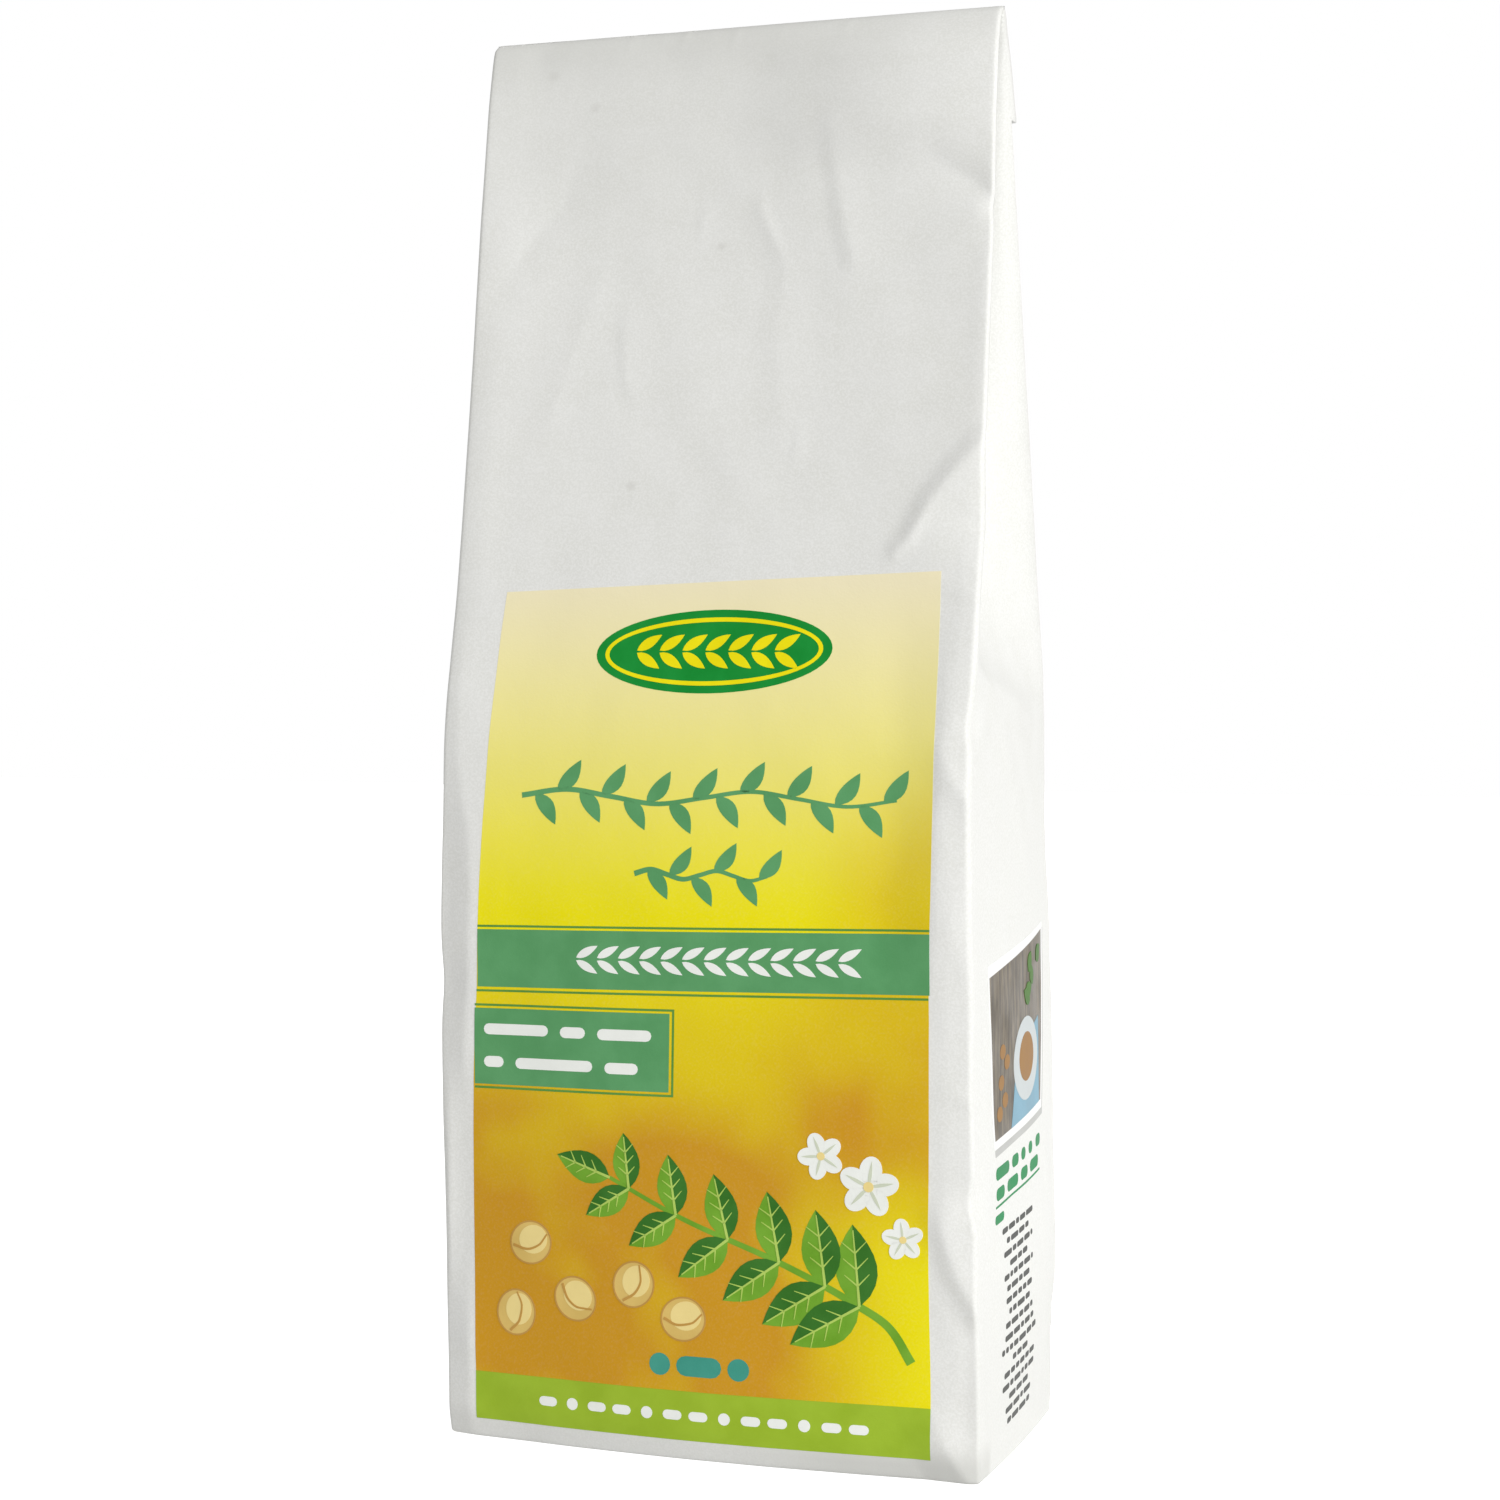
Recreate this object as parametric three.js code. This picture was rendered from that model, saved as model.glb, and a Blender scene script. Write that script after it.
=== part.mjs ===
// A filled paper flour bag: a block bottom, a full body that stands like a box up to the
// height of the flour, and an empty upper part whose front and back lean together while the
// sides tuck in between them. The closed end is folded over to the back as a thick flap.
// It is shut, so it is one solid body.
//
// Millimetres, +Z up. The bag stands on z = 0, its front faces -Y, and x = 0, y = 0 is the
// middle of the block bottom.

import * as THREE from 'three';

// ---------------------------------------------------------------------------
// Driving dimensions
// ---------------------------------------------------------------------------

const PACK_WIDTH = 101; // the front, from edge to edge
const PACK_HEIGHT = 264; // floor to the fold at the top
const TOP_LEAN = -5; // sideways lean of the top fold from the middle of the base

const GUSSET_HALF = 28.6; // half the depth of a side panel's paper
const TUCK_START = 138; // height where the sides start to tuck in
const SHOULDER_SLOPE = 9.5; // the tuck starts this much lower at the back than at the front
const TUCK_CENTRED = 200; // above this the tuck's crease runs up the middle of the side
const TUCK_FRONT_SHARE = 0.15; // at its start the crease is this share of the way back
const SEAM_START = 256; // above this the tucked sides are pressed flat
const SEAM_END = 262;

const FLAP_END = 244.3; // height of the flap's lower end
const FLAP_END_RISE = 0.8; // the lower end is cut almost level
const SIDE_BULGE = 1.4; // the flour pushes each side out by this much
const BOTTOM_RADIUS = 1.2; // round of the bottom edge

// Distances from the middle plane y = 0, each as [height, distance].
const FRONT_EDGE = [
  [0, 30], [30, 30.3], [60, 31.5], [95, 31.7], [125, 29.5], [145, 25.7],
  [195, 16], [230, 9.6], [258, 4.6], [262.5, 3.2], [PACK_HEIGHT, 1.2],
];
const BACK_EDGE = [
  [0, 28.5], [25, 32.5], [60, 33.5], [95, 33], [137, 29.5], [165, 22.7], [206, 13.3],
  [226, 9.1], [FLAP_END, 5.2], [PACK_HEIGHT, -0.8],
];
// The back's right-hand edge is crumpled: it stands out from the plain edge by these amounts.
const CRUMPLED_EDGE = [
  [0, -0.5], [14, -2], [28, 3], [60, 1.5], [92, 0.5], [111, -2], [137, 0.5], [165, 0],
];
const CRUMPLE_REACH = 0.6; // share of the half back over which that fades away
const FLAP_FACE = [
  [FLAP_END + FLAP_END_RISE, 9.2], [254, 5.6], [261, 1.9], [263.4, 0.6], [PACK_HEIGHT, -0.4],
];

// How far the middle of the front and of the back stands proud of their edges.
const PANEL_BULGE = [[0, 3], [20, 3.4], [70, 3], [120, 2], [150, 0.6], [170, 0], [PACK_HEIGHT, 0]];

// Radius of the upright edges.
const EDGE_RADIUS = [[0, 2], [20, 2.5], [60, 3], [120, 3], [150, 2], [180, 1], [PACK_HEIGHT, 0.5]];

// Folds pressed into the front, each along a path of [x, z] points that is walked upward. The
// paper climbs over the left width up to the fold, and falls over the right width to drop below
// the panel. A negative rise makes a valley. strengths are shares of it at the path's points.
const FRONT_FOLDS = [
  {
    // The large fold below the shoulder, on the right.
    path: [[29.5, 157], [33.1, 168.1], [37.5, 175.8], [46, 183], [50, 186]],
    strengths: [0, 1, 1, 0.5, 0.4],
    rise: 0.75,
    drop: 0.8,
    left: 4.3,
    right: 15,
  },
  {
    // The dent in the right-hand edge near the top: a valley with a ridge below it.
    path: [[46.5, 225], [41, 229.5], [33, 236]],
    strengths: [1, 0.6, 0],
    rise: -0.6,
    drop: 0,
    left: 8,
    right: 5,
  },
  {
    path: [[46.5, 225], [40, 221], [31, 219]],
    strengths: [1, 0.6, 0],
    rise: 0.3,
    drop: 0,
    left: 6,
    right: 8,
  },
  {
    // The bevel of the left-hand edge at the shoulder.
    path: [[-50.5, 138], [-49, 152], [-45, 166], [-39, 184], [-36, 200]],
    strengths: [0.2, 0.8, 1, 0.6, 0],
    rise: 0.6,
    drop: 0,
    left: 9,
    right: 7,
  },
  {
    // The dent of the lower right margin.
    path: [[50, 29.5], [46.5, 36], [43.8, 44], [43, 50]],
    strengths: [1, 1, 0.7, 0],
    rise: 0.55,
    drop: 0,
    left: 4.5,
    right: 7,
  },
  {
    // The fold of the lower right corner.
    path: [[51, -1], [47, 5], [43.4, 11]],
    strengths: [1, 0.8, 0],
    rise: 0.5,
    drop: 0,
    left: 6,
    right: 6,
  },
];

// ---------------------------------------------------------------------------
// How finely the surface is divided
// ---------------------------------------------------------------------------

const FRONT_STEPS = 40;
const BACK_STEPS = 14;
const SIDE_STEPS = 10; // an even number, half of them in front of the tuck's crease
const EDGE_STEPS = 2;
const ROW_SPACING = 5;
const BOTTOM_ROWS = 2;

// ---------------------------------------------------------------------------
// Small helpers
// ---------------------------------------------------------------------------

// A smooth function through [place, value] points that never overshoots them.
function profile(points) {
  const slopes = points.slice(1).map((p, i) => (p[1] - points[i][1]) / (p[0] - points[i][0]));
  const tangents = points.map((_, i) => {
    const before = slopes[Math.max(i - 1, 0)];
    const after = slopes[Math.min(i, slopes.length - 1)];
    return before * after <= 0 ? 0 : (2 * before * after) / (before + after);
  });
  return (place) => {
    const inner = points.findIndex((p) => p[0] > place);
    if (inner === 0) return points[0][1];
    if (inner < 0) return points.at(-1)[1];
    const [x0, y0] = points[inner - 1];
    const [x1, y1] = points[inner];
    const span = x1 - x0;
    const t = (place - x0) / span;
    const bend = t * (1 - t) * span;
    const ease = t * t * (3 - 2 * t);
    return (
      THREE.MathUtils.lerp(y0, y1, ease) +
      bend * (tangents[inner - 1] * (1 - t) - tangents[inner] * t)
    );
  };
}

// The nearest place on a path: its distance, which side of the path it is on (positive on the
// right as the path is walked), and the fold's strength there.
function nearestOnPath(path, strengths, x, z) {
  let best = { distance: Infinity };
  path.slice(1).forEach(([bx, bz], i) => {
    const [ax, az] = path[i];
    const length = Math.hypot(bx - ax, bz - az);
    const dx = (bx - ax) / length;
    const dz = (bz - az) / length;
    const reach = THREE.MathUtils.clamp((x - ax) * dx + (z - az) * dz, 0, length);
    const offX = x - ax - reach * dx;
    const offZ = z - az - reach * dz;
    const distance = Math.hypot(offX, offZ);
    if (distance < best.distance) {
      const strength = THREE.MathUtils.lerp(strengths[i], strengths[i + 1], reach / length);
      best = { distance, side: offX * dz - offZ * dx, strength };
    }
  });
  return best;
}

// ---------------------------------------------------------------------------
// The bag's surface
// ---------------------------------------------------------------------------

const frontEdge = profile(FRONT_EDGE);
const backEdge = profile(BACK_EDGE);
const crumpledEdge = profile(CRUMPLED_EDGE);
const flapFace = profile(FLAP_FACE);
const panelBulge = profile(PANEL_BULGE);
const edgeRadius = profile(EDGE_RADIUS);

// The rearmost paper: the back panel below the flap's end and the flap above it.
function rearFace(z) {
  return z > FLAP_END ? flapFace(z) : backEdge(z);
}

// How deep the middle of a side is tucked in. The side's paper keeps its width, so the nearer
// the front and back come, the deeper it folds.
function tuckDepth(z) {
  const halfDepth = (frontEdge(z) + backEdge(z)) / 2;
  const open = 1 - THREE.MathUtils.smoothstep(z, SEAM_START, SEAM_END);
  return open * Math.sqrt(Math.max(GUSSET_HALF ** 2 - halfDepth ** 2, 0));
}

// How far one fold lifts the front at a place.
function foldLift({ path, strengths, rise, drop, left, right }, x, z) {
  const { distance, side, strength } = nearestOnPath(path, strengths, x, z);
  const climb = rise * Math.max(1 - distance / left, 0);
  const fall = (rise + drop) * Math.max(1 - distance / right, 0) - drop;
  return strength * (side > 0 ? fall : climb);
}

// How far all folds lift the front, at a place given before the lean.
function frontLift(x, z) {
  return FRONT_FOLDS.reduce((sum, fold) => sum + foldLift(fold, x + leanAt(z), z), 0);
}

function frontPoint(across, z, half, radius) {
  const x = across * (half - radius);
  return [x, -frontEdge(z) - panelBulge(z) * (1 - across ** 2) - frontLift(x, z)];
}

function backPoint(across, z, half, radius) {
  const crumple = crumpledEdge(z) * THREE.MathUtils.smoothstep(across, 1 - CRUMPLE_REACH, 1);
  return [across * (half - radius), rearFace(z) + panelBulge(z) * (1 - across ** 2) + crumple];
}

function leanAt(z) {
  return (TOP_LEAN * z) / PACK_HEIGHT;
}

// The share of a side's depth at which it is tucked in furthest.
function creaseShare(z) {
  const risen = THREE.MathUtils.smoothstep(z, TUCK_START, TUCK_CENTRED);
  return THREE.MathUtils.lerp(TUCK_FRONT_SHARE, 0.5, risen);
}

// A side of one section: [x, y] points from the front panel's end to the back panel's end,
// without those two ends. way is 1 on the right and -1 on the left, and crumple moves its rear
// edge.
function sidePoints(z, half, radius, way, crumple) {
  const front = -frontEdge(z);
  const rear = rearFace(z) + crumple;
  const sideStart = front + radius;
  const sideEnd = Math.min(backEdge(z) + crumple, rear - radius);
  const crease = creaseShare(z);
  const points = [];
  for (let step = 1; step <= EDGE_STEPS; step += 1) {
    const angle = (Math.PI / 2) * (step / EDGE_STEPS);
    const x = half - radius * (1 - Math.sin(angle));
    const lift = frontLift(way * x, z) * Math.cos(angle) ** 2;
    points.push([way * x, front + radius * (1 - Math.cos(angle)) - lift]);
  }
  for (let step = 1; step <= SIDE_STEPS; step += 1) {
    const reach = (2 * step) / SIDE_STEPS; // 1 at the crease, 2 at the rear edge
    const share = reach < 1 ? crease * reach : crease + (1 - crease) * (reach - 1);
    const folded = reach < 1 ? reach : 2 - reach;
    const tuck = tuckDepth(z + SHOULDER_SLOPE * (share - 0.5)) * folded;
    const bulge = (panelBulge(z) / PANEL_BULGE[0][1]) * SIDE_BULGE * 4 * share * (1 - share);
    points.push([way * (half - tuck + bulge), THREE.MathUtils.lerp(sideStart, sideEnd, share)]);
  }
  for (let step = 1; step < EDGE_STEPS; step += 1) {
    const angle = (Math.PI / 2) * (step / EDGE_STEPS);
    const x = half - radius * (1 - Math.cos(angle));
    points.push([way * x, rear - radius * (1 - Math.sin(angle))]);
  }
  return points;
}

// One level section of the bag, anticlockwise as seen from above, starting at the front's left.
// inset draws the whole section in, for the round of the bottom edge.
function section(z, inset) {
  const half = PACK_WIDTH / 2;
  const radius = edgeRadius(z);
  const points = [];
  for (let step = 0; step <= FRONT_STEPS; step += 1) {
    points.push(frontPoint((2 * step) / FRONT_STEPS - 1, z, half, radius));
  }
  points.push(...sidePoints(z, half, radius, 1, crumpledEdge(z)));
  for (let step = 0; step <= BACK_STEPS; step += 1) {
    points.push(backPoint(1 - (2 * step) / BACK_STEPS, z, half, radius));
  }
  points.push(...sidePoints(z, half, radius, -1, 0).reverse());
  const depth = (frontEdge(z) + rearFace(z)) / 2;
  return points.map(([x, y]) => [x * (1 - inset / half) + leanAt(z), y * (1 - inset / depth)]);
}

// Heights of the sections, with one at every height where the rear outline changes direction.
function rowHeights() {
  const turns = [...CRUMPLED_EDGE, ...FLAP_FACE].map(([height]) => height);
  const marks = [...turns, FLAP_END].filter((height) => height > BOTTOM_RADIUS);
  const heights = [BOTTOM_RADIUS];
  marks.sort((a, b) => a - b);
  marks.forEach((mark) => {
    const from = heights.at(-1);
    const steps = Math.ceil((mark - from) / ROW_SPACING);
    for (let step = 1; step <= steps; step += 1) {
      heights.push(THREE.MathUtils.lerp(from, mark, step / steps));
    }
  });
  return heights;
}

function bagGeometry() {
  const rows = [];
  for (let step = 0; step < BOTTOM_ROWS; step += 1) {
    const angle = (Math.PI / 2) * (step / BOTTOM_ROWS);
    const z = BOTTOM_RADIUS * (1 - Math.cos(angle));
    rows.push({ z, inset: BOTTOM_RADIUS * (1 - Math.sin(angle)) });
  }
  rowHeights().forEach((z) => rows.push({ z, inset: 0 }));

  const rings = rows.map(({ z, inset }) => section(z, inset).map(([x, y]) => [x, y, z]));
  const count = rings[0].length;
  const positions = rings.flat(2);
  const faces = [];
  for (let row = 0; row + 1 < rings.length; row += 1) {
    for (let i = 0; i < count; i += 1) {
      const a = row * count + i;
      const b = row * count + ((i + 1) % count);
      faces.push(a, b, b + count, a, b + count, a + count);
    }
  }

  // The flat bottom and the narrow top are closed from their middles.
  const bottomMiddle = positions.length / 3;
  positions.push(0, 0, 0);
  const topMiddle = bottomMiddle + 1;
  positions.push(TOP_LEAN, (rearFace(PACK_HEIGHT) - frontEdge(PACK_HEIGHT)) / 2, PACK_HEIGHT);
  const topStart = (rings.length - 1) * count;
  for (let i = 0; i < count; i += 1) {
    const next = (i + 1) % count;
    faces.push(bottomMiddle, next, i);
    faces.push(topMiddle, topStart + i, topStart + next);
  }

  const geometry = new THREE.BufferGeometry();
  geometry.setAttribute('position', new THREE.Float32BufferAttribute(positions, 3));
  geometry.setIndex(faces);
  geometry.computeVertexNormals();
  return geometry;
}

// ---------------------------------------------------------------------------
// The model
// ---------------------------------------------------------------------------

const paper = new THREE.MeshStandardMaterial({ color: 0xe8e8e3, roughness: 0.55, metalness: 0 });

const bag = new THREE.Mesh(bagGeometry(), paper);
bag.name = 'bag';

const model = new THREE.Group();
model.add(bag);

export default model;
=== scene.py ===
"""A filled paper flour bag, standing on a pale floor: its creased paper and its printed front and side.

Shapes are worked out in millimetres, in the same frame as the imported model, and scaled to
metres where a mesh is made. The bag's front faces -Y and its printed side +X.
"""

from dataclasses import dataclass
from math import atan2, ceil, cos, pi, radians, sin, sqrt

import bpy
import numpy as np
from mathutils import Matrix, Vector, geometry


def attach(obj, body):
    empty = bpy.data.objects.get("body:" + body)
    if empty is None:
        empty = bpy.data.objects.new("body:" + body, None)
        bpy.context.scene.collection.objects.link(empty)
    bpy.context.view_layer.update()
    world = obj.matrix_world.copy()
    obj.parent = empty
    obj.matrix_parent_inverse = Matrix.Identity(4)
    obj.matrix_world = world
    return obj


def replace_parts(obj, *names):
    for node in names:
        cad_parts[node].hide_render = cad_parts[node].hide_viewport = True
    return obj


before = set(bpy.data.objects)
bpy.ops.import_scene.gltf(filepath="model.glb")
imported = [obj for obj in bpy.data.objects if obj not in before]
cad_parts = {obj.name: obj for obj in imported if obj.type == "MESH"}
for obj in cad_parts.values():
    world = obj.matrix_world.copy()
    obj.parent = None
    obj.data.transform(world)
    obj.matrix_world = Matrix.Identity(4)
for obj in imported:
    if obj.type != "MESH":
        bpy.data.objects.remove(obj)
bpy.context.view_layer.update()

MM = 0.001
BODY = "root"
NODE = "bag"

# ---- Curves ----

def profile(points):
    """A smooth function through (place, value) points that never overshoots them."""
    places, values = np.array(points, float).T
    slopes = np.diff(values) / np.diff(places)
    before = np.concatenate([slopes[:1], slopes])
    after = np.concatenate([slopes, slopes[-1:]])
    same_way = before * after > 0
    total = np.where(same_way, before + after, 1.0)
    tangents = np.where(same_way, 2 * before * after / total, 0.0)

    def at(place):
        place = np.clip(np.asarray(place, float), places[0], places[-1])
        i = np.clip(np.searchsorted(places, place, side="right") - 1, 0, len(places) - 2)
        span = places[i + 1] - places[i]
        t = (place - places[i]) / span
        bend = t * (1 - t) * span * (tangents[i] * (1 - t) - tangents[i + 1] * t)
        return values[i] + (values[i + 1] - values[i]) * ease(t, 0, 1) + bend

    return at


def ease(value, low, high):
    """A smooth change from 0 at a low value to 1 at a high one."""
    t = np.clip((value - low) / (high - low), 0, 1)
    return t * t * (3 - 2 * t)


# ---- Sizes of the bag ----

WIDTH = 101.0
HALF = WIDTH / 2
HEIGHT = 264.0
TOP_LEAN = -5.0  # how far across the top stands from the foot

GUSSET_HALF = 28.6  # half the width of a side's paper
TUCK_START = 138.0
TUCK_CENTRED = 200.0
TUCK_SHARES = (0.15, 0.5)  # where its crease lies from front to back, at its start and above
SHOULDER_SLOPE = 9.5  # how much lower a tuck sets in at the back than at the front
TUCK_ONSET = 8
TUCK_BOW = 0.55  # how far its rear ply bows out
EDGE_GIVE = 7  # how far round the edge a side follows the front's folds
FOLDS_IN_TUCK = 0.3  # the share of a side's folds that is left in its tuck
DEEP_TUCK = 4  # how deep a tuck is where only that share is left
SEAM_START = 256.0
SEAM_END = 262.0

FLAP_END = 244.3
FLAP_END_RISE = 0.8
side_bulge = profile([(0, 0.6), (20, 1.4), (70, 1.4), (120, 0.9), (150, 0.3), (170, 0), (HEIGHT, 0)])
BOTTOM_RADIUS = 0.7
TOP_ROUNDING = 262.5  # above this height the front rounds over to the flap

front_edge = profile([
    (0, 28.8), (6, 30), (30, 30.3), (60, 31.5), (95, 31.7), (125, 29.5), (145, 25.7),
    (195, 16), (230, 9.6), (258, 4.6), (TOP_ROUNDING, 3.2), (HEIGHT, 1.2),
])
back_edge = profile([
    (0, 28.5), (25, 32.5), (60, 33.5), (95, 33), (137, 29.5), (165, 22.7), (206, 13.3),
    (226, 9.1), (FLAP_END, 5.2), (HEIGHT, -0.8),
])
crumpled_edge = profile([
    (0, -0.5), (14, -2), (28, 3), (60, 1.5), (92, 0.5), (111, -2), (137, 0.5), (165, 0),
])
CRUMPLE_REACH = 0.6
flap_face = profile([
    (FLAP_END + FLAP_END_RISE, 9.2), (254, 5.6), (261, 1.9), (263.4, 0.6), (HEIGHT, -0.4),
])
panel_bulge = profile([(0, 3), (20, 3.4), (70, 3), (120, 2), (150, 0.6), (170, 0), (HEIGHT, 0)])
rear_radius = profile([(0, 2), (20, 2.5), (60, 3), (120, 3), (150, 2), (180, 1), (HEIGHT, 0.5)])
right_radius = profile([(0, 0.7), (60, 1.1), (135, 1.3), (160, 1), (HEIGHT, 0.8)])
LEFT_RADIUS = 0.9

BACK_LAP = (-0.19, -0.11, 0.14, 0.155)  # where the back seam's plies start and end, of half the width
LAP_RISE = 0.3
BACK_SQUARENESS = 8
BOTTOM_FLAP = 37.0  # how far the outer bottom flap reaches from the front
PLY_STEP = 0.15
PLY_FADE = 0.06  # the share of the bottom, next to its edge, where the plies' steps fade out
FOOT = 6  # the sides' folds fade out toward the ground below this height
MIRRORED = np.array((-1, 1, 1, -1, 1))  # signs that turn a right-hand side's columns into a left's
LEFT_WAVES_LOWER = 40  # how much lower the waves lie on the left than on the right

# How finely the paper is divided.
FRONT_STEPS = 140
BACK_STEPS = 48
SIDE_STEPS = 34
EDGE_STEPS = 5
ROW_SPACING = 0.85
BOTTOM_ROWS = 4
BOTTOM_RINGS = 24
MEASURED_ROW = 100  # the row whose length round lays out the unrolled paper


def rear_face(z):
    return np.where(z > FLAP_END, flap_face(z), back_edge(z))


def lean_at(z):
    return TOP_LEAN * z / HEIGHT


def tuck_depth(z):
    """How far the side's paper reaches inward, setting in softly at the shoulder."""
    half_depth = (front_edge(z) + back_edge(z)) / 2
    opened = 1 - ease(z, SEAM_START, SEAM_END)
    depth = np.sqrt(np.maximum(GUSSET_HALF ** 2 - half_depth ** 2, 0))
    return opened * depth ** 3 / (depth ** 2 + TUCK_ONSET ** 2)


def crease_share(z):
    return np.interp(ease(z, TUCK_START, TUCK_CENTRED), (0, 1), TUCK_SHARES)


def bulge(share):
    """1 in the middle of a panel's width and 0 at its edges."""
    return 4 * share * (1 - share)


# ---- Folds, dents and waves in the paper ----

@dataclass
class Fold:
    """A fold in a panel along a path of (across, height) points, walked upward.

    The paper climbs over the left width up to the fold and falls over the right width, to
    drop below the panel. A negative rise makes a valley. strengths are shares of the rise at
    the path's points, and soft the shares of the two widths over which the slope dies away.
    """

    path: list
    rise: float
    left: float
    right: float
    strengths: tuple
    drop: float = 0.0
    soft: tuple = (0.3, 0.3)

    def lift(self, across, z):
        steps = np.diff(np.array(self.path, float), axis=0)
        lengths = np.hypot(*steps.T)
        best = np.full(np.shape(across), np.inf)
        side = np.zeros(np.shape(across))
        share = np.zeros(np.shape(across))
        for i, (start, step, length) in enumerate(zip(self.path, steps, lengths)):
            dx, dz = step / length
            reach = np.clip((across - start[0]) * dx + (z - start[1]) * dz, 0, length)
            off_x = across - start[0] - reach * dx
            off_z = z - start[1] - reach * dz
            distance = np.hypot(off_x, off_z)
            nearer = distance < best
            here = np.interp(reach, (0, length), self.strengths[i:i + 2])
            best = np.where(nearer, distance, best)
            side = np.where(nearer, off_x * dz - off_z * dx, side)
            share = np.where(nearer, here, share)
        climb = self.rise * slope_left(best / self.left, self.soft[0])
        fall = (self.rise + self.drop) * slope_left(best / self.right, self.soft[1]) - self.drop
        return share * np.where(side > 0, fall, climb)


def slope_left(reach, soft):
    """1 at a fold's line, falling evenly and ending at 0 over a soft last share."""
    left = np.clip(1 - reach, 0, 1)
    return np.where(left < soft, left * left / (2 * soft), left - soft / 2) / (1 - soft / 2)


def waves(seed, height, shortest, longest, count=14):
    """A sum of seeded sine waves of a few directions and lengths, as a function of a place."""
    draw = np.random.default_rng(seed)
    turns = draw.uniform(0, pi, count)
    lengths = draw.uniform(shortest, longest, count)
    phases = draw.uniform(0, 2 * pi, count)

    def at(across, z):
        total = 0
        for turn, length, phase in zip(turns, lengths, phases):
            along = across * cos(turn) + z * sin(turn)
            total = total + np.sin(2 * pi * along / length + phase) * length / longest
        return total * height / sqrt(count)

    return at


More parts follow.
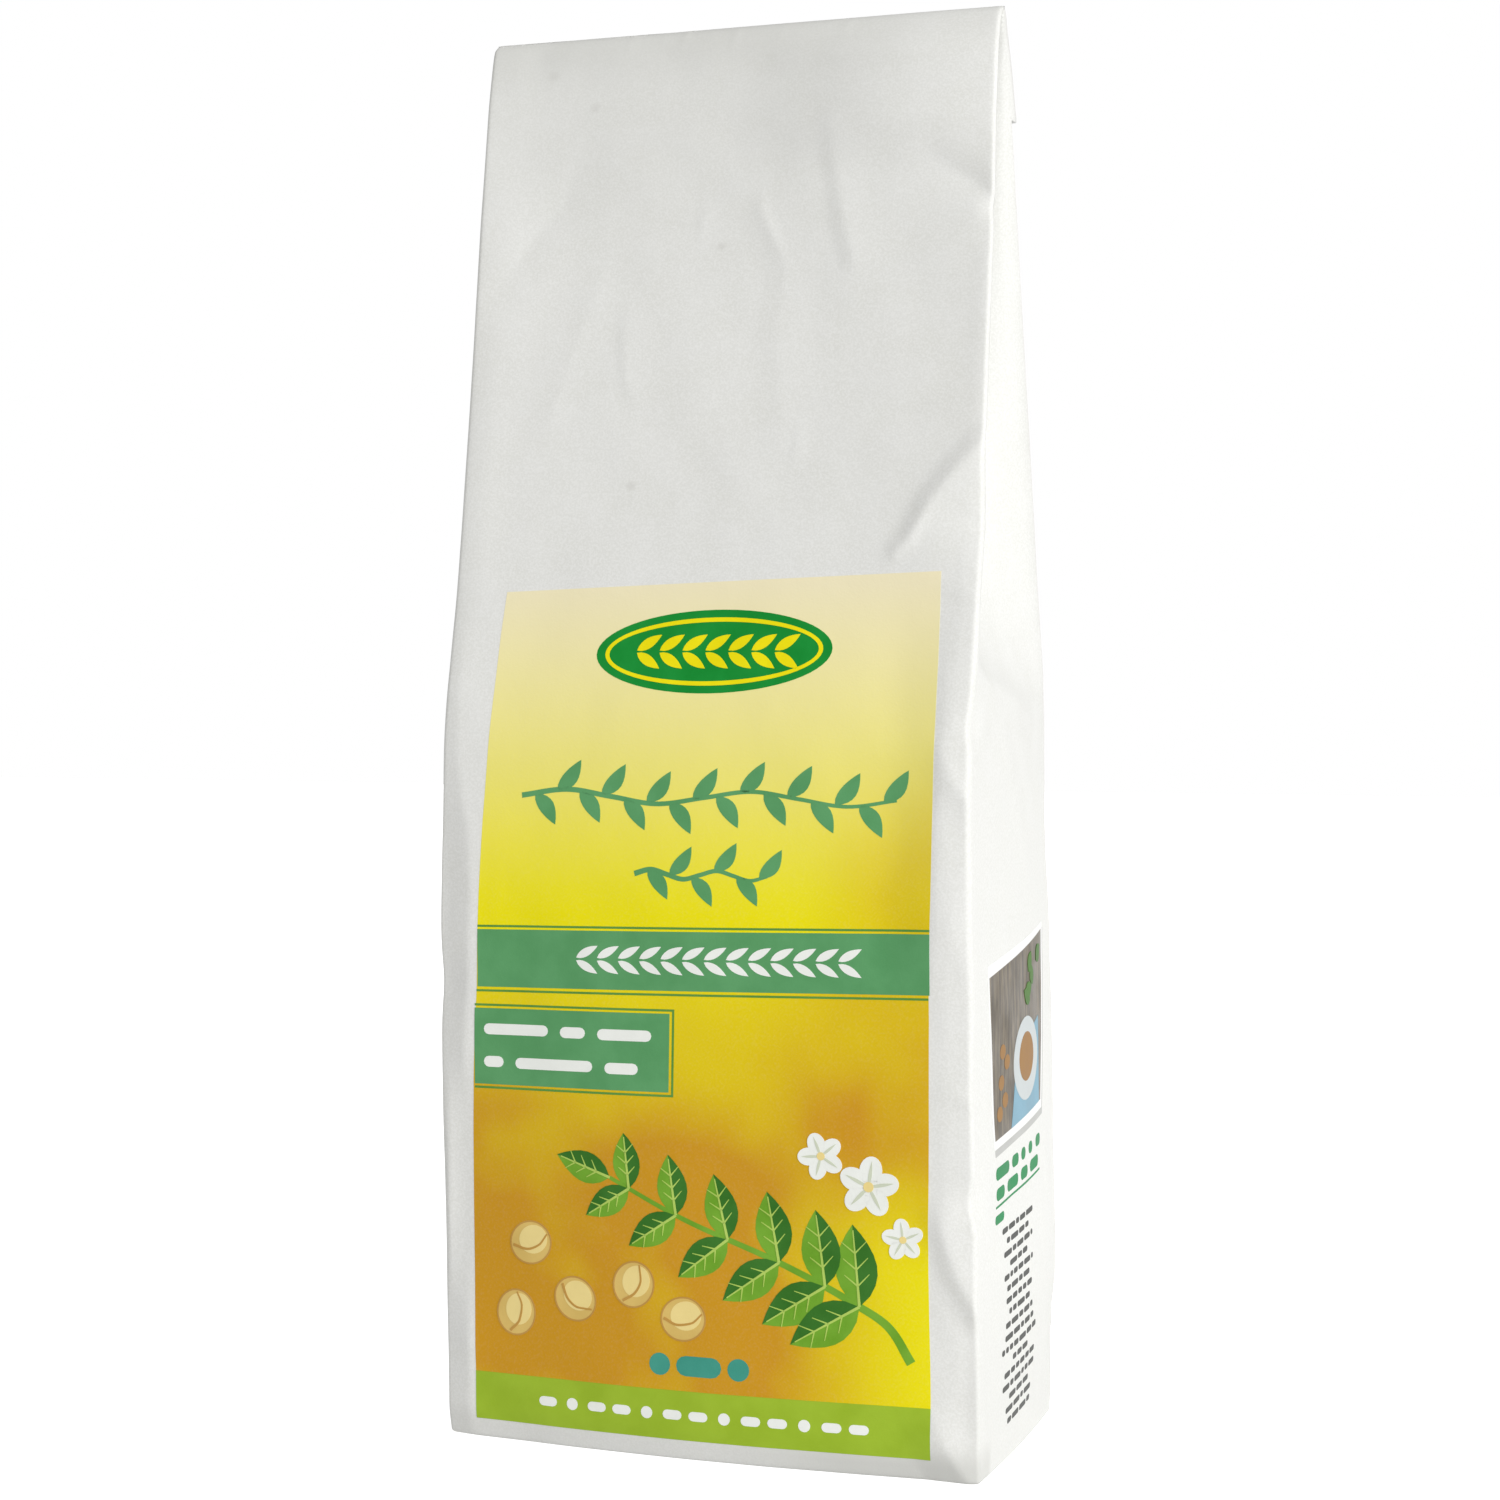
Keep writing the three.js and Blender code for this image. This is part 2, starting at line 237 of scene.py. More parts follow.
FRONT_FOLDS = [
    # The large fold below the shoulder on the right, and its sharp lower end.
    Fold([(32.4, 160.5), (34.9, 166), (37.8, 171.6), (41.9, 177), (46, 181.4), (50, 184.3)],
         0.85, 4.2, 15, (0, 0.4, 0.9, 1, 0.75, 0.6), drop=2.2, soft=(0.4, 0.5)),
    Fold([(31.2, 160.5), (32, 162.7), (34, 164.5), (36, 168), (37.8, 171.6)],
         0.5, 3.2, 3, (0.2, 1, 1, 0.6, 0), soft=(0.4, 0.9)),
    # The dent in the right-hand edge near the top, and the broad fall of the paper above it.
    Fold([(47.5, 225.5), (44.5, 228.5), (40.9, 231.1), (36.1, 234.3), (31, 238)],
         -0.65, 9, 4.5, (1, 1, 0.8, 0.5, 0), soft=(0.9, 0.5)),
    Fold([(46.5, 225), (40, 221), (31, 219)], 0.3, 6, 8, (1, 0.6, 0)),
    # Soft upright creases in the upper front.
    Fold([(20.9, 213), (20.4, 216.8), (18.2, 224.4), (16.6, 231.5), (15.2, 238.6), (14.5, 247)],
         0.36, 3.2, 11, (0, 0.9, 1, 0.8, 0.5, 0), soft=(0.25, 0.9)),
    Fold([(9, 176), (8.5, 187), (6.5, 203), (7.6, 216.3), (4.8, 221.7), (2.1, 227.1), (1.6, 231)],
         0.2, 5, 9, (0, 0.5, 0.6, 1, 1, 1, 0), soft=(0.25, 0.9)),
    Fold([(7.6, 216.3), (4.8, 221.7), (2.1, 227.1), (1.6, 230)], 0.12, 2.2, 1.6, (0, 1, 1, 0.3)),
    Fold([(-9.9, 221), (-9.6, 226), (-9.2, 230)], 0.12, 1.2, 3, (0, 1, 0)),
    Fold([(11.2, 178), (11.7, 182), (12.3, 187)], 0.12, 1.2, 3, (0, 1, 0)),
    Fold([(-19, 189), (-22.5, 196), (-23.3, 203), (-23.6, 212)], 0.15, 2, 6, (0, 1, 1, 0),
         soft=(0.3, 0.9)),
    Fold([(-50, 214), (-43, 224.5), (-38, 230), (-35.5, 240)], -0.3, 9, 9, (0.6, 1, 1, 0),
         soft=(0.9, 0.9)),
    Fold([(-38, 182), (-36, 192), (-33.5, 201), (-30, 212), (-28, 220)], 0.2, 9, 8,
         (0, 1, 1, 0.8, 0), soft=(0.6, 0.9)),
    # The left-hand edge, standing forward of the slack upper front.
    Fold([(-54, 150), (-54.5, 200), (-54.8, 228), (-55, 250), (-55, 264)], 1.2, 3, 24,
         (0.2, 0.7, 1, 0.6, 0.2), soft=(0.3, 1)),
    # Its bevel, beside the label and up past the shoulder.
    Fold([(-46.6, 60), (-46.6, 72), (-45.6, 100), (-46.5, 111.7), (-48.2, 117.2), (-49.6, 126.4),
          (-50.3, 135.7), (-50.6, 145), (-50.8, 156)],
         0.75, 5.5, 14, (0, 1, 1, 0.9, 0.7, 0.6, 0.6, 0.5, 0), soft=(0.15, 1)),
    Fold([(-53.4, 138), (-54.1, 160), (-54.4, 185), (-54.8, 215), (-55, 240)],
         -0.7, 3, 6.5, (0, 1, 0.9, 0.6, 0), soft=(0.3, 1)),
    Fold([(-50.2, 24), (-50.3, 42), (-50.4, 66)], 0.6, 0.6, 4.5, (0, 1, 0.2), soft=(0.3, 0.8)),
    Fold([(-45.6, 2), (-45.8, 17), (-46.2, 27), (-46.4, 36)], 0.8, 5, 12, (0.6, 1, 0.35, 0),
         soft=(0.2, 1)),
    # The label's right-hand border, turned a little from the light, and the margin beside it.
    Fold([(44.2, 6), (44.2, 70), (44.5, 150), (44.5, 215)], 0.3, 14, 6.5, (0.6, 1, 1, 0.6),
         soft=(1, 0.4)),
    Fold([(42.3, 80), (42.4, 92), (42.6, 110), (42.8, 125), (42.8, 140), (42.6, 152)],
         1.4, 11, 7, (0, 0.8, 1, 1, 0.6, 0), drop=-1.1, soft=(0.5, 0.8)),
    # The paper's memory of an upright fold near the label's left-hand edge.
    Fold([(-39.8, 78), (-40.2, 100), (-40.7, 120)], 0.06, 1.4, 1.4, (0, 1, 0)),
    # Ripples under the top edge.
    *[Fold(path, rise, 1.6, 1.2, (0, 1)) for *path, rise in (
        ((-27.4, 258.5), (-26.4, 263.5), 0.1), ((-16.2, 258.5), (-15.6, 263.5), 0.12),
        ((-6.4, 257.5), (-5.2, 263.5), 0.12), ((3.2, 258.5), (3.9, 263.5), 0.08),
        ((15.8, 258.5), (16.6, 263), 0.1))],
    # The dents of the lower right margin.
    Fold([(50, 29.5), (46.5, 36), (43.8, 44), (43, 50)], 0.9, 4.5, 7, (1, 1, 0.7, 0),
         soft=(0.6, 0.6)),
    Fold([(51, -3), (47, 2.5), (43.4, 8.5), (41, 14)], 1.35, 6.5, 7, (1, 1, 0.6, 0), soft=(0.1, 0.6)),
    Fold([(46, 13), (46.6, 22), (45.6, 29)], 0.14, 2.5, 3, (0, 1, 0.3), soft=(0.2, 0.7)),
    Fold([(50, 65.5), (46, 67.5), (41.5, 68)], 0.3, 2.5, 3, (0.8, 1, 0)),
    Fold([(48, 84), (45.5, 96), (46, 108)], 0.3, 4, 4, (0, 1, 0)),
    Fold([(50, 116), (45.5, 121), (42, 128)], 0.6, 6, 5, (1, 1, 0.3), soft=(0.8, 0.9)),
]

SIDE_FOLDS = [
    # The ridge running down from the shoulder.
    Fold([(9, 100), (6.5, 107), (-3, 121), (-11, 131), (-19, 139)], 0.3, 4, 5,
         (0, 0.9, 1, 1, 0), soft=(0.15, 0.5)),
    # The upright fold beside the crumpled rear edge.
    Fold([(24.3, -6), (25.9, 35), (24, 50)], 0.7, 5, 4, (1, 1, 0.5)),
]

CORNER_SWELL = 2.0
SWELL_FROM = -4
SWELL_CREST = 26
SWELL_REACH = 24
SWELL_GROWS = (232, 244)
SWELL_ENDS = (255, 263)

front_waves = waves(11, 0.22, 24, 70)
front_ripples = waves(12, 0.035, 9, 18)
side_waves = waves(13, 0.2, 22, 60)
side_ripples = waves(14, 0.035, 8, 18)
back_waves = waves(15, 0.3, 26, 70)


def corner_swell(x, z):
    """How far the front stands out beside its upper right corner, to fall away toward it."""
    across = np.where(x < SWELL_CREST, ease(x, SWELL_FROM, SWELL_CREST),
                      1 - ((x - SWELL_CREST) / SWELL_REACH) ** 2)
    upward = ease(z, *SWELL_GROWS) * (1 - ease(z, *SWELL_ENDS))
    return CORNER_SWELL * across * upward


def front_lift(x, z):
    folded = sum(fold.lift(x, z) for fold in FRONT_FOLDS)
    return folded + front_waves(x, z) + front_ripples(x, z) + corner_swell(x, z)


def side_lift(y, z):
    return sum(fold.lift(y, z) for fold in SIDE_FOLDS) + side_waves(y, z) + side_ripples(y, z)


# Dents pressed into the bag: place, how far round they reach, and which way and how far they go.
DENTS = [
    ((49.8, -31, 49), 7.5, (-0.9, 0.3, 0)),
    ((49.4, -29, 131), 8.0, (-0.7, 0.3, 0)),
    ((46.2, -10.5, 225.6), 5.0, (-0.5, 0.5, 0)),
    ((-50.0, -31, 84), 12.0, (0.4, 0.3, 0)),
    ((-45.5, -5, 260), 9.0, (0, 0.25, 0)),
]


def pressed(points):
    """Points of the paper, moved by the dents that reach them."""
    moved = points.copy()
    for place, reach, way in DENTS:
        distance = np.linalg.norm(points - np.array(place), axis=-1)
        share = (1 - ease(distance / reach, 0, 1)) ** 2
        moved += share[..., None] * np.array(way)
    return moved


# ---- The bag's surface ----

def front_points(x, z, height):
    """Places on the front panel, raised off the paper by a height."""
    offset = x - lean_at(z)
    radius = np.where(offset > 0, right_radius(z), LEFT_RADIUS)
    across = np.clip(offset / (HALF - radius), -1, 1)
    y = -front_edge(z) - panel_bulge(z) * (1 - across ** 2) - front_lift(x, z)
    points = pressed(np.stack([x, y, z], axis=-1))
    return points - np.array((0, height, 0))


def side_points(y, z, height):
    """Places on the right-hand panel below its tuck, raised off the paper by a height."""
    start = right_radius(z) - front_edge(z)
    end = back_edge(z) + crumpled_edge(z) - rear_radius(z)
    share = np.clip((y - start) / (end - start), 0, 1)
    x = HALF + bulge(share) * side_bulge(z) + side_lift(y, z) + lean_at(z)
    points = pressed(np.stack([x, y, z], axis=-1))
    return points + np.array((height, 0, 0))


def columns(*values):
    return np.stack(np.broadcast_arrays(*values))


def side_columns(z, crumple, front_radius):
    """Columns of a right-hand side: x, y and how far they face the front, the side and the back."""
    radius = rear_radius(z)
    turn = np.linspace(0, pi / 2, EDGE_STEPS + 1)[None, :]
    rear = rear_face(z) + crumple
    start = front_radius - front_edge(z)
    end = np.minimum(back_edge(z) + crumple, rear - radius)
    reach = np.linspace(0, 2, SIDE_STEPS + 1)[None, 1:]
    crease = crease_share(z)
    folded = np.where(reach < 1, reach, 2 - reach)
    bowed = folded ** (1 - TUCK_BOW * ease(z, TUCK_START, TUCK_CENTRED))
    share = np.where(reach < 1, crease * folded, 1 - (1 - crease) * bowed)
    tuck = tuck_depth(z + SHOULDER_SLOPE * (share - 0.5)) * folded
    panel_x = HALF - tuck + bulge(share) * side_bulge(z)
    panel_y = start + (end - start) * share
    first, last = turn[:, 1:], turn[:, 1:-1]
    first_x = HALF - front_radius * (1 - np.sin(first))
    first_y = front_radius * (1 - np.cos(first)) - front_edge(z)
    last_x = HALF - radius * (1 - np.cos(last))
    last_y = rear - radius * (1 - np.sin(last))
    given = 1 - ease(panel_y - start, 0, EDGE_GIVE)
    flatness = 1 - ease(tuck_depth(z), 0, DEEP_TUCK)
    kept = FOLDS_IN_TUCK + (1 - FOLDS_IN_TUCK) * flatness
    return np.concatenate([
        columns(first_x, first_y, 1, np.sin(first) ** 2 * kept, 0),
        columns(panel_x, panel_y, given, kept, 0),
        columns(last_x, last_y, 0, np.cos(last) ** 2 * kept, 0),
    ], axis=-1)


def section_rows(z):
    """Points of every level section, as an array of rows by columns by three."""
    z = z[:, None]
    radius = rear_radius(z)

    across = np.linspace(-1, 1, FRONT_STEPS + 1)[None, :]
    front_x = across * (HALF - np.where(across > 0, right_radius(z), LEFT_RADIUS))
    front_y = -front_edge(z) - panel_bulge(z) * (1 - across ** 2)

    right = side_columns(z, crumpled_edge(z), right_radius(z))
    left = side_columns(z, 0, LEFT_RADIUS)[..., ::-1] * MIRRORED[:, None, None]

    back = np.sort(np.concatenate([np.linspace(-1, 1, BACK_STEPS + 1), BACK_LAP]))[None, ::-1]
    crumple = crumpled_edge(z) * ease(back, 1 - CRUMPLE_REACH, 1)
    lap = ease(back, *BACK_LAP[:2]) - ease(back, *BACK_LAP[2:])
    back_x = back * (HALF - radius)
    back_y = rear_face(z) + panel_bulge(z) * (1 - back ** 2) + crumple + lap * LAP_RISE

    front = columns(front_x, front_y, 1, 0, 0)
    rear = columns(back_x, back_y, 0, 0, 1 - back ** BACK_SQUARENESS)
    xs, ys, facing, sideways, rearward = np.concatenate([front, right, rear, left], axis=-1)
    xs = xs + lean_at(z)
    zs = np.broadcast_to(z, xs.shape)
    settled = ease(zs, 0, FOOT)
    lowered = 1 - ease(zs, SEAM_START, HEIGHT)
    pushed_y = rearward * back_waves(xs, zs) * lowered - facing * front_lift(xs, zs)
    left_lift = side_waves(-ys, zs + LEFT_WAVES_LOWER)
    pushed_x = sideways * np.where(xs > 0, side_lift(ys, zs), left_lift)
    return np.stack([xs + pushed_x * settled, ys + pushed_y, zs], axis=-1)


def row_heights():
    marks = [BOTTOM_RADIUS, FLAP_END, FLAP_END + FLAP_END_RISE, TOP_ROUNDING, HEIGHT]
    heights = [marks[0]]
    for mark in marks[1:]:
        steps = max(ceil((mark - heights[-1]) / ROW_SPACING), 2)
        heights += list(np.linspace(heights[-1], mark, steps + 1)[1:])
    return np.array(heights)


def bottom_recess(x, y):
    """How far up the bottom's plies lie: the folded ends, the inner flap and the outer flap."""
    from_front = y + front_edge(0)
    from_back = back_edge(0) - y
    outer = ease(HALF - from_front - np.abs(x), 0, 1) * ease(BOTTOM_FLAP - from_front, 0, 1)
    inner = ease(HALF - from_back - np.abs(x), 0, 1)
    return PLY_STEP * (1 - outer) * (2 - inner)


def bag_mesh():
    """The bag's points and faces, and where each face's corners lie on the unrolled paper."""
    turn = np.linspace(0, pi / 2, BOTTOM_ROWS + 1)[:-1]
    walls = row_heights()
    z = np.concatenate([BOTTOM_RADIUS * (1 - np.cos(turn)), walls])
    inset = np.concatenate([BOTTOM_RADIUS * (1 - np.sin(turn)), 0 * walls])[:, None]
    rows = section_rows(z)
    depth = ((front_edge(z) + rear_face(z)) / 2)[:, None]
    middle = lean_at(z)[:, None]
    rows[..., 0] = middle + (rows[..., 0] - middle) * (1 - inset / HALF)
    rows[..., 1] *= 1 - inset / depth
    rows = pressed(rows)
    shrink = np.linspace(0, 1, BOTTOM_RINGS + 1)[1:, None]
    rings = np.repeat(rows[:1], BOTTOM_RINGS, axis=0) * shrink[..., None]
    edge_fade = ease(1 - shrink, 0, PLY_FADE)
    rings[..., 2] = bottom_recess(rings[..., 0], rings[..., 1]) * edge_fade
    rows = np.concatenate([rings[:-1], rows])
    count = rows.shape[1]
    points = rows.reshape(-1, 3)

    measured = rows[MEASURED_ROW]
    around = np.linalg.norm(np.diff(measured, axis=0, append=measured[:1]), axis=1)
    u = np.concatenate([[0], np.cumsum(around)]) / around.sum()
    faces, unrolled = [], []
    for row in range(len(rows) - 1):
        low, high = row / (len(rows) - 1), (row + 1) / (len(rows) - 1)
        for i in range(count):
            a = row * count + i
            b = row * count + (i + 1) % count
            faces.append((a, b, b + count, a + count))
            unrolled += [(u[i], low), (u[i + 1], low), (u[i + 1], high), (u[i], high)]
    bottom = len(points)
    top_y = (rear_face(HEIGHT) - front_edge(HEIGHT)) / 2
    points = np.vstack([points, [(0, 0, bottom_recess(0, 0)), (TOP_LEAN, top_y, HEIGHT)]])
    last = (len(rows) - 1) * count
    for i in range(count):
        following = (i + 1) % count
        faces.append((bottom, following, i))
        faces.append((bottom + 1, last + i, last + following))
        unrolled += [(u[i], 0)] * 3 + [(u[i], 1)] * 3
    return points, faces, unrolled


def in_scene(name, data):
    made = bpy.data.objects.new(name, data)
    bpy.context.scene.collection.objects.link(made)
    return made


def add_object(name, points, faces, unrolled, material, crisp_from=None):
    """A smooth piece of the bag's paper, with edges kept crisp from an angle in degrees."""
    mesh = bpy.data.meshes.new(name)
    mesh.from_pydata([tuple(p) for p in np.asarray(points) * MM], [], faces)
    mesh.materials.append(material)
    mesh.polygons.foreach_set("use_smooth", [True] * len(mesh.polygons))
    if crisp_from:
        mesh.set_sharp_from_angle(angle=radians(crisp_from))
    layer = mesh.uv_layers.new(name="OFBake")
    layer.data.foreach_set("uv", np.array(unrolled, float).ravel())
    mesh.update()
    piece = in_scene(name, mesh)
    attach(piece, BODY)
    return piece


# ---- Materials ----

GRAIN = (0.42, 2, 0.6)  # the paper's fibres: size, detail and roughness
CLOUDS = (7, 3, 0.5)  # its faint unevenness
GRAIN_BUMP = (0.22, 0.1)  # strength and depth
CLOUD_BUMP = (0.25, 0.4)
NOISE_MIDDLE = (0.3, 0.7)  # most of a noise lies between these
ROUGHNESS = 0.5
ROUGHNESS_SPREAD = 0.06
PAPER_SHINE = 0.3
INK_SHINE = 0.12
LABEL_SHINE = 0.08


def linear(colour):
    """An sRGB colour of 0 to 255 as the linear colour that shaders use."""
    shares = [v / 255 for v in colour]
    return [s / 12.92 if s <= 0.04045 else ((s + 0.055) / 1.055) ** 2.4 for s in shares] + [1]


class Shader:
    """A Principled material whose nodes are added by short calls."""

    def __init__(self, name):
        self.material = bpy.data.materials.new(name)
        self.material.use_nodes = True
        self.tree = self.material.node_tree
        self.principled = self.tree.nodes["Principled BSDF"]
        self.place = self.node("TexCoord", output="Object")
        self.x, self.y, self.z = self.node("SeparateXYZ", {0: self.place}).node.outputs

    def node(self, kind, inputs=None, output=0, **settings):
        """An output of a new node, with its settings made and its inputs fed first."""
        made = self.tree.nodes.new("ShaderNode" + kind)
        for key, value in settings.items():
            setattr(made, key, value)
        for key, value in (inputs or {}).items():
            self.feed(made.inputs[key], value)
        return made.outputs[output]

    def feed(self, socket, value):
        if isinstance(value, bpy.types.NodeSocket):
            self.tree.links.new(value, socket)
        else:
            socket.default_value = value

    def surface(self, setting, value):
        self.feed(self.principled.inputs[setting], value)

    def coloured(self, colour):
        self.surface("Base Color", colour)
        return self.material

    def noise(self, size, detail, roughness):
        return self.node("TexNoise", {"Vector": self.place, "Scale": 1 / (size * MM),
                                      "Detail": detail, "Roughness": roughness})

    def math(self, operation, first, second=0.0, clamp=False):
        return self.node("Math", {0: first, 1: second}, operation=operation, use_clamp=clamp)

    def times(self, first, second, clamp=False):
        return self.math("MULTIPLY", first, second, clamp)

    def between(self, value, low, high, to_low=0.0, to_high=1.0):
        """A smooth change, while a value goes from low to high."""
        limits = {"From Min": low, "From Max": high, "To Min": to_low, "To Max": to_high}
        return self.node("MapRange", {"Value": value, **limits}, interpolation_type="SMOOTHSTEP")

    def over(self, place, low, high, to_low=0.0, to_high=1.0):
        """A smooth change from one place to another, given in millimetres."""
        return self.between(place, low * MM, high * MM, to_low, to_high)

    def patch(self, across, upward):
        """A smooth change across times a smooth change in height."""
        return self.times(self.over(self.x, *across), self.over(self.z, *upward))

    def mix(self, share, first, second):
        return self.node("Mix", {0: share, 6: first, 7: second}, 2, data_type="RGBA")

    def ramp(self, value, stops):
        colours = self.node("ValToRGB", {0: value})
        elements = colours.node.color_ramp.elements
        while len(elements) < len(stops):
            elements.new(1)
        for element, (place, colour) in zip(elements, stops):
            element.position = place
            element.color = linear(colour)
        return colours

    def bump(self, height, strength, depth, **normal):
        inputs = {"Height": height, "Strength": strength, "Distance": depth * MM, **normal}
        return self.node("Bump", inputs)

    def paper_finish(self, shine, roughness=ROUGHNESS):
        """The paper's fibre grain, cloudiness and satin gloss, which the print on it shares."""
        grain = self.noise(*GRAIN)
        clouds = self.noise(*CLOUDS)
        fine = self.bump(grain, *GRAIN_BUMP)
        self.surface("Normal", self.bump(clouds, *CLOUD_BUMP, Normal=fine))
        limits = (roughness - ROUGHNESS_SPREAD, roughness + ROUGHNESS_SPREAD)
        self.surface("Roughness", self.between(clouds, *NOISE_MIDDLE, *limits))
        self.surface("Specular IOR Level", shine)
        return grain, clouds


PAPER_TONES = ((221, 221, 216), (223, 223, 219))
PAPER_SPECKS = (233, 233, 230)
SPECK_SHARES = (0.35, 0.7, 0.0, 0.7)  # where a noise's specks begin and end, and their shares there
# Small grey marks on the front: x, height and radius.
MARKS = [(-42.1, 256.3, 1.7), (-32.9, 249.3, 1.5), (-5.5, 220.6, 1.2), (-19.8, 175.5, 1.4)]
MARK_TONE = (206, 205, 200)
MARK_CORE = 0.2
MARK_SHARE = 0.5
# What counts as the front: what lies before these places, and in the upper part up to the middle.
FRONT_FACE = (-22, -25)
UPPER_PART = (150, 160)
# The tone of the painted shade on the paper.
SHADE_TONE = (204, 204, 199)
# Painted shade on the front, where the paper is greyer: changes across and in height, from one place to
# another, with the shares there where they aren't 0 and 1.
PAINTED_SHADE = [
    ((44, 5), (205, 262, 0.0, 0.25)),  # toward the upper left
    ((45, -10, 0.2, 1.0), (250, 263.5, 0.0, 0.5)),  # along the top
    ((0, 30, 0.35, 1.0), (8, 2)),  # near the base
]
# Painted shade on the side, greyer toward its base, given in the same way.
SIDE_PAINTED_SHADE = ((47, 49), (45, 6, 0.0, 0.25))


def paper_material():
    paper = Shader("white_paper")
    grain, clouds = paper.paper_finish(PAPER_SHINE)
    tone = paper.mix(paper.between(clouds, *NOISE_MIDDLE), *map(linear, PAPER_TONES))
    tone = paper.mix(paper.between(grain, *SPECK_SHARES), tone, linear(PAPER_SPECKS))
    face = paper.over(paper.y, *FRONT_FACE)
    front = paper.math("MAXIMUM", face, paper.over(paper.z, *UPPER_PART))
    front = paper.times(front, paper.math("LESS_THAN", paper.y, 0))
    for x, z, radius in MARKS:
        apart = [paper.math("SUBTRACT", socket, place * MM)
                 for socket, place in ((paper.x, x), (paper.z, z))]
        distance = paper.math("SQRT", paper.math("ADD", *[paper.times(d, d) for d in apart]))
        share = paper.over(distance, MARK_CORE * radius, radius, MARK_SHARE, 0.0)
        tone = paper.mix(paper.times(share, front), tone, linear(MARK_TONE))
    # Painted shade on the front: greyer toward the upper left, along the top and near the base.
    for changes in PAINTED_SHADE:
        share = paper.times(paper.patch(*changes), front)
        tone = paper.mix(share, tone, linear(SHADE_TONE))
    # Painted shade on the side, greyer toward its base.
    return paper.coloured(paper.mix(paper.patch(*SIDE_PAINTED_SHADE), tone, linear(SHADE_TONE)))


INK_SPECKS = (0.25, 0.75, 0.0, 0.35)


def ink_material(name, colour, spread):
    """A printed colour, uneven by a spread, on the paper's grain."""
    ink = Shader(name)
    grain, clouds = ink.paper_finish(INK_SHINE)
    lighter = [min(v + spread, 255) for v in colour]
    darker = [max(v - spread, 0) for v in colour]
    tone = ink.mix(ink.between(clouds, *NOISE_MIDDLE), linear(darker), linear(lighter))
    specks = ink.between(grain, *INK_SPECKS)
    return ink.coloured(ink.mix(specks, tone, linear(colour)))


# The label's colours by height, and the ochre that clouds its lower part.
LABEL_TONES = [
    (0, (236, 224, 8)), (97, (236, 224, 8)), (102, (236, 225, 38)), (111, (237, 226, 78)),
    (125, (237, 227, 124)), (138, (238, 228, 156)), (147, (238, 228, 174)),
    (157, (237, 227, 190)),
]
LABEL_OCHRE = (203, 148, 28)
LABEL_SPECKS = (0.4, 0.8, 0.0, 0.04)
BAND_MIDDLE = 90
# The ochre's changes across and in height, given in the same way.
OCHRE_DEEPENS = (92, 44, 0.16, 1.0)  # downward from the green band
OCHRE_CLEARS = ((4, 44), (62, 34))  # to the lower right
OCHRE_STAYS = ((8, 36, 0, 0.34), (50, 70))  # below the band's right-hand part
OCHRE_ABOVE = ((16, 42, 0, 0.5), (130, 100))  # above the band, at the right
OCHRE_MOTTLE = (26, 2, 0.5)
MOTTLE_SHARES = (0.75, 1.2)


def label_material():
    ink = Shader("label_ink")
    grain, _ = ink.paper_finish(LABEL_SHINE)
    tone = ink.ramp(ink.math("DIVIDE", ink.z, HEIGHT * MM),
                    [(height / HEIGHT, colour) for height, colour in LABEL_TONES])
    deep, clear = ink.over(ink.z, *OCHRE_DEEPENS), ink.patch(*OCHRE_CLEARS)
    lower = ink.math("ADD", ink.math("SUBTRACT", deep, clear), ink.patch(*OCHRE_STAYS))
    below_band = ink.math("LESS_THAN", ink.z, BAND_MIDDLE * MM)
    above_band = ink.math("SUBTRACT", 1.0, below_band)
    share = ink.math("ADD", ink.times(lower, below_band),
                     ink.times(ink.patch(*OCHRE_ABOVE), above_band))
    mottle = ink.between(ink.noise(*OCHRE_MOTTLE), *NOISE_MIDDLE, *MOTTLE_SHARES)
    tone = ink.mix(ink.times(mottle, share, clamp=True), tone, linear(LABEL_OCHRE))
    specks = ink.between(grain, *LABEL_SPECKS)
    return ink.coloured(ink.mix(specks, tone, linear(PAPER_SPECKS)))


PICTURE_ROUGHNESS = 0.4
BOARD_TONES = ((64, 56, 44), (116, 104, 84))
BOARD_STRETCH = (1, 1, 0.12)
BOARD_NOISE = {"Scale": 900.0, "Detail": 4.0, "Roughness": 0.6}
BOARD_WIDTH = 2.6
GAP_SHARES = (0.0, 0.35, 0.8, 0.0)
GAP_TONE = (38, 33, 26)


def picture_material():
    """Weathered boards, printed small."""
    ink = Shader("picture_ink")
    ink.paper_finish(PAPER_SHINE, PICTURE_ROUGHNESS)
    stretched = ink.node("Mapping", {"Vector": ink.place, "Scale": BOARD_STRETCH})
    wood = ink.node("TexNoise", {"Vector": stretched, **BOARD_NOISE})
    tone = ink.mix(ink.between(wood, *NOISE_MIDDLE), *map(linear, BOARD_TONES))
    gap = ink.over(ink.math("PINGPONG", ink.y, BOARD_WIDTH * MM), *GAP_SHARES)
    return ink.coloured(ink.mix(gap, tone, linear(GAP_TONE)))


